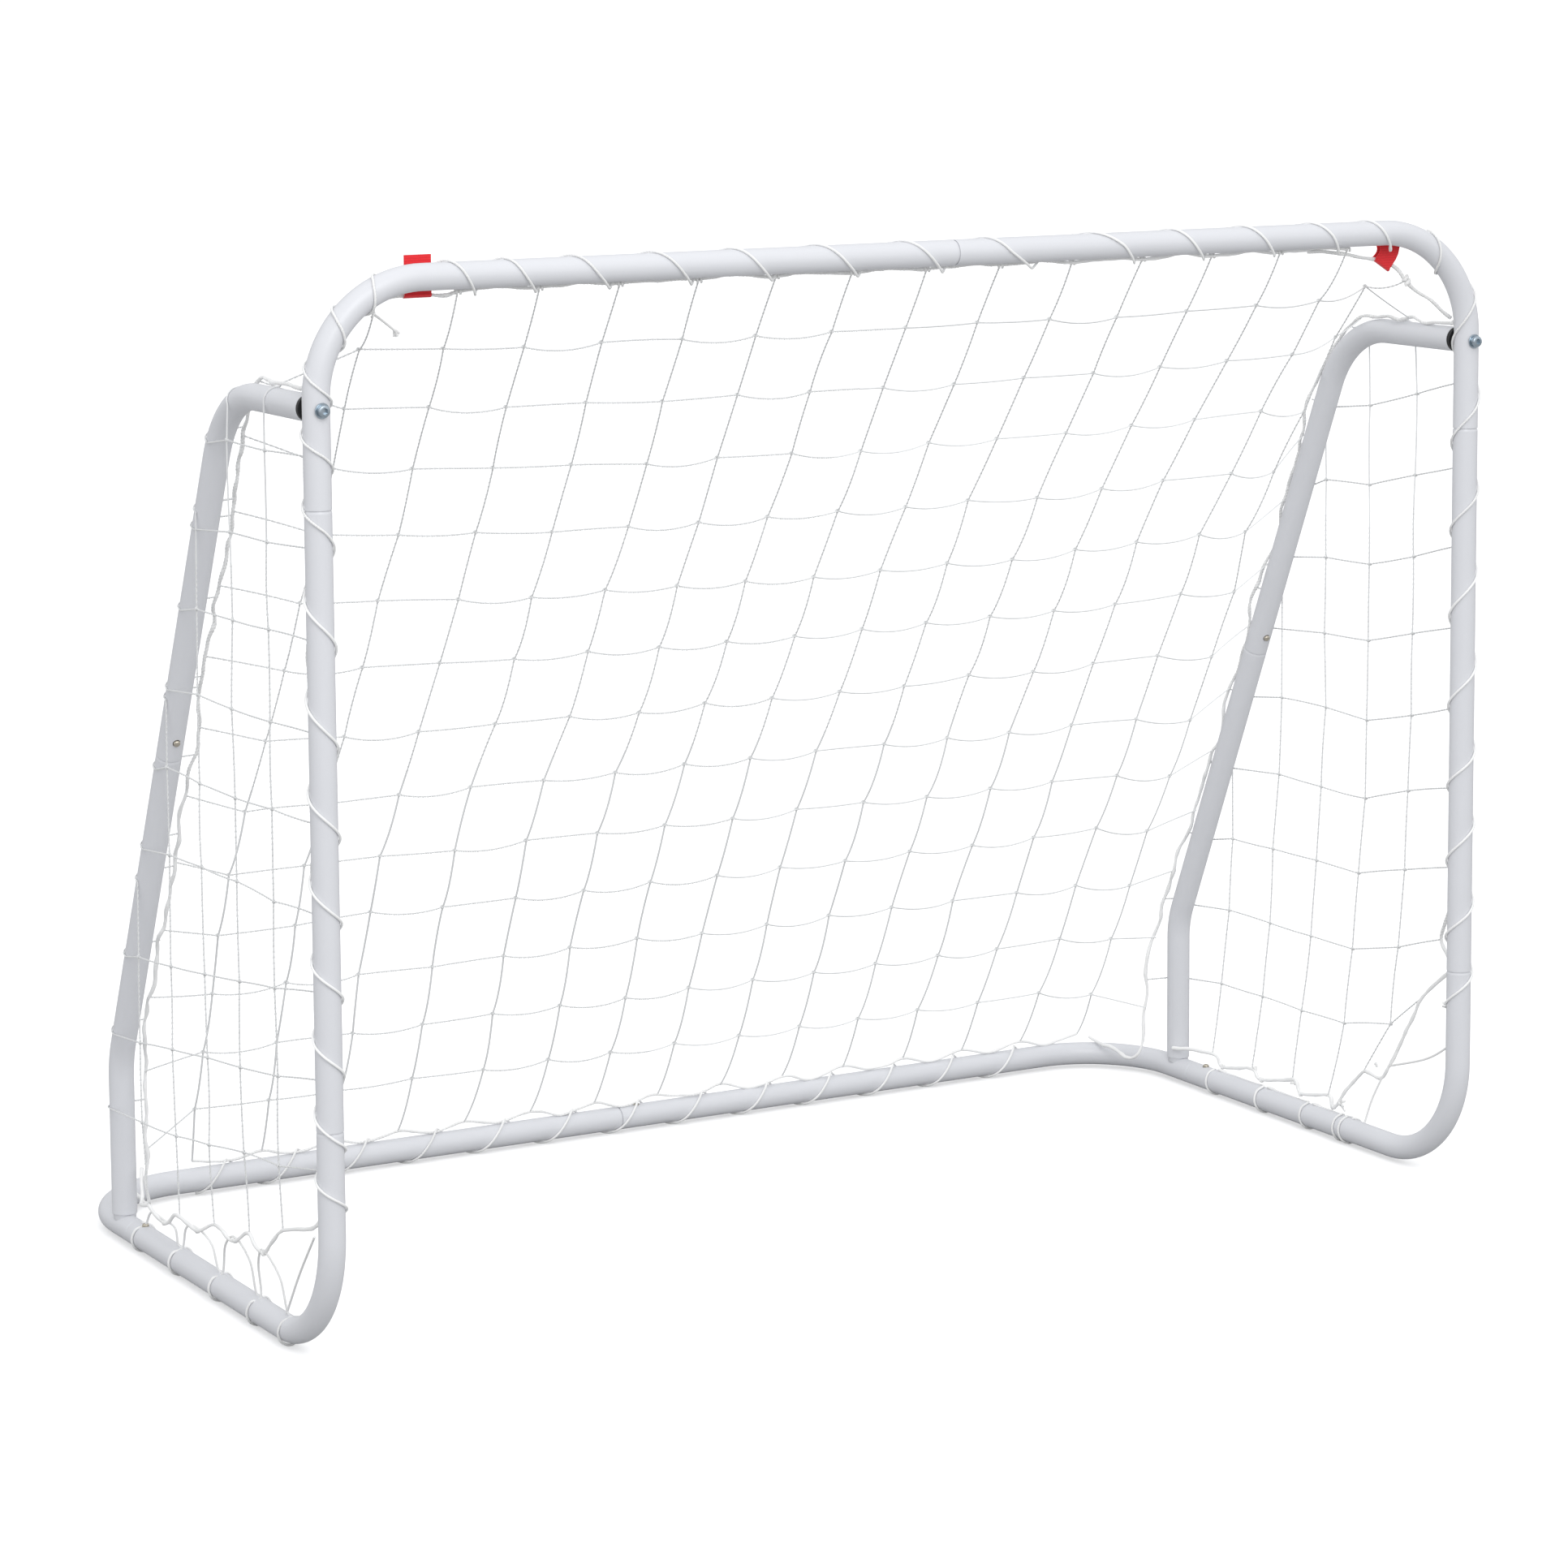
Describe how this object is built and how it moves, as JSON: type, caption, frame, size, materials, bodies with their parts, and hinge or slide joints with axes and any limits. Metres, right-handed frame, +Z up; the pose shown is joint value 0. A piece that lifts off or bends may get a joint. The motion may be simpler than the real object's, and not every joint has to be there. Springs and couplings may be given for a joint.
{
  "type": "soccer goal frame",
  "caption": "Portable football goal: plug-together round steel tube frame with side struts, snap buttons and a laced square-mesh net.",
  "frame": {"origin": "on the floor, under the middle of the goal's outer box", "axes": "+X along the crossbar to the right, +Y from the mouth to the rear bar, +Z up"},
  "size_m": [1.562, 0.802, 1.2099],
  "materials": {
    "powder_coat": "white powder coat, satin",
    "zinc_steel": "blue zinc plate",
    "nickel_steel": "nickel plate, polished dome",
    "spring_steel": "plain spring steel",
    "black_plastic": "moulded, matte",
    "net_twine": "twisted white polyethylene twine",
    "lacing_cord": "white laid cord",
    "hook_and_loop": "red hook and loop tape"
  },
  "bodies": {
    "frame": {"bolt_washer_left": "zinc_steel", "bolt_washer_right": "zinc_steel", "captive_nut_left": "zinc_steel", "captive_nut_right": "zinc_steel", "crossbar_tube_left": "powder_coat", "crossbar_tube_right": "powder_coat", "edge_rope_front": "lacing_cord", "edge_rope_rear": "lacing_cord", "foot_tube_left": "powder_coat", "foot_tube_right": "powder_coat", "lacing_crossbar": "lacing_cord", "lacing_post_left": "lacing_cord", "lacing_post_right": "lacing_cord", "lacing_rear": "lacing_cord", "lacing_side_left": "lacing_cord", "lacing_side_right": "lacing_cord", "net_back": "net_twine", "net_left": "net_twine", "net_right": "net_twine", "pivot_bolt_left": "zinc_steel", "pivot_bolt_right": "zinc_steel", "post_tube_left": "powder_coat", "post_tube_right": "powder_coat", "rear_corner_tube_left": "powder_coat", "rear_corner_tube_right": "powder_coat", "seam_rope_left": "lacing_cord", "seam_rope_right": "lacing_cord", "spring_clip_crossbar": "spring_steel", "spring_clip_post_lower_left": "spring_steel", "spring_clip_post_lower_right": "spring_steel", "spring_clip_post_upper_left": "spring_steel", "spring_clip_post_upper_right": "spring_steel", "spring_clip_rear": "spring_steel", "spring_clip_side_left": "spring_steel", "spring_clip_side_right": "spring_steel", "spring_clip_strut_left": "spring_steel", "spring_clip_strut_right": "spring_steel", "strap_left": "hook_and_loop", "strap_right": "hook_and_loop", "strut_end_plug_left": "black_plastic", "strut_end_plug_right": "black_plastic", "strut_tube_lower_left": "powder_coat", "strut_tube_lower_right": "powder_coat", "strut_tube_upper_left": "powder_coat", "strut_tube_upper_right": "powder_coat"},
    "snap_button_crossbar": {"snap_button_crossbar": "nickel_steel"},
    "snap_button_post_lower_left": {"snap_button_post_lower_left": "nickel_steel"},
    "snap_button_post_lower_right": {"snap_button_post_lower_right": "nickel_steel"},
    "snap_button_post_upper_left": {"snap_button_post_upper_left": "nickel_steel"},
    "snap_button_post_upper_right": {"snap_button_post_upper_right": "nickel_steel"},
    "snap_button_rear": {"snap_button_rear": "nickel_steel"},
    "snap_button_side_left": {"snap_button_side_left": "nickel_steel"},
    "snap_button_side_right": {"snap_button_side_right": "nickel_steel"},
    "snap_button_strut_left": {"snap_button_strut_left": "nickel_steel"},
    "snap_button_strut_right": {"snap_button_strut_right": "nickel_steel"}
  },
  "joints": [
    {"name": "press_crossbar", "type": "slide", "parent": "frame", "child": "snap_button_crossbar", "axis": [0, -1, 0], "range_m": [0, 0.005], "stiffness_N_per_m": 1500, "springref_m": -0.003, "deforming": ["spring_clip_crossbar"]},
    {"name": "press_post_lower_left", "type": "slide", "parent": "frame", "child": "snap_button_post_lower_left", "axis": [0, -1, 0], "range_m": [0, 0.005], "stiffness_N_per_m": 1500, "springref_m": -0.003, "deforming": ["spring_clip_post_lower_left"]},
    {"name": "press_post_lower_right", "type": "slide", "parent": "frame", "child": "snap_button_post_lower_right", "axis": [0, -1, 0], "range_m": [0, 0.005], "stiffness_N_per_m": 1500, "springref_m": -0.003, "deforming": ["spring_clip_post_lower_right"]},
    {"name": "press_post_upper_left", "type": "slide", "parent": "frame", "child": "snap_button_post_upper_left", "axis": [0, -1, 0], "range_m": [0, 0.005], "stiffness_N_per_m": 1500, "springref_m": -0.003, "deforming": ["spring_clip_post_upper_left"]},
    {"name": "press_post_upper_right", "type": "slide", "parent": "frame", "child": "snap_button_post_upper_right", "axis": [0, -1, 0], "range_m": [0, 0.005], "stiffness_N_per_m": 1500, "springref_m": -0.003, "deforming": ["spring_clip_post_upper_right"]},
    {"name": "press_rear", "type": "slide", "parent": "frame", "child": "snap_button_rear", "axis": [0, 0, -1], "range_m": [0, 0.005], "stiffness_N_per_m": 1500, "springref_m": -0.003, "deforming": ["spring_clip_rear"]},
    {"name": "press_side_left", "type": "slide", "parent": "frame", "child": "snap_button_side_left", "axis": [0, 0, -1], "range_m": [0, 0.005], "stiffness_N_per_m": 1500, "springref_m": -0.003, "deforming": ["spring_clip_side_left"]},
    {"name": "press_side_right", "type": "slide", "parent": "frame", "child": "snap_button_side_right", "axis": [0, 0, -1], "range_m": [0, 0.005], "stiffness_N_per_m": 1500, "springref_m": -0.003, "deforming": ["spring_clip_side_right"]},
    {"name": "press_strut_left", "type": "slide", "parent": "frame", "child": "snap_button_strut_left", "axis": [0, 0.9134, 0.4071], "range_m": [0, 0.005], "stiffness_N_per_m": 1500, "springref_m": -0.003, "deforming": ["spring_clip_strut_left"]},
    {"name": "press_strut_right", "type": "slide", "parent": "frame", "child": "snap_button_strut_right", "axis": [0, 0.9134, 0.4071], "range_m": [0, 0.005], "stiffness_N_per_m": 1500, "springref_m": -0.003, "deforming": ["spring_clip_strut_right"]}
  ]
}
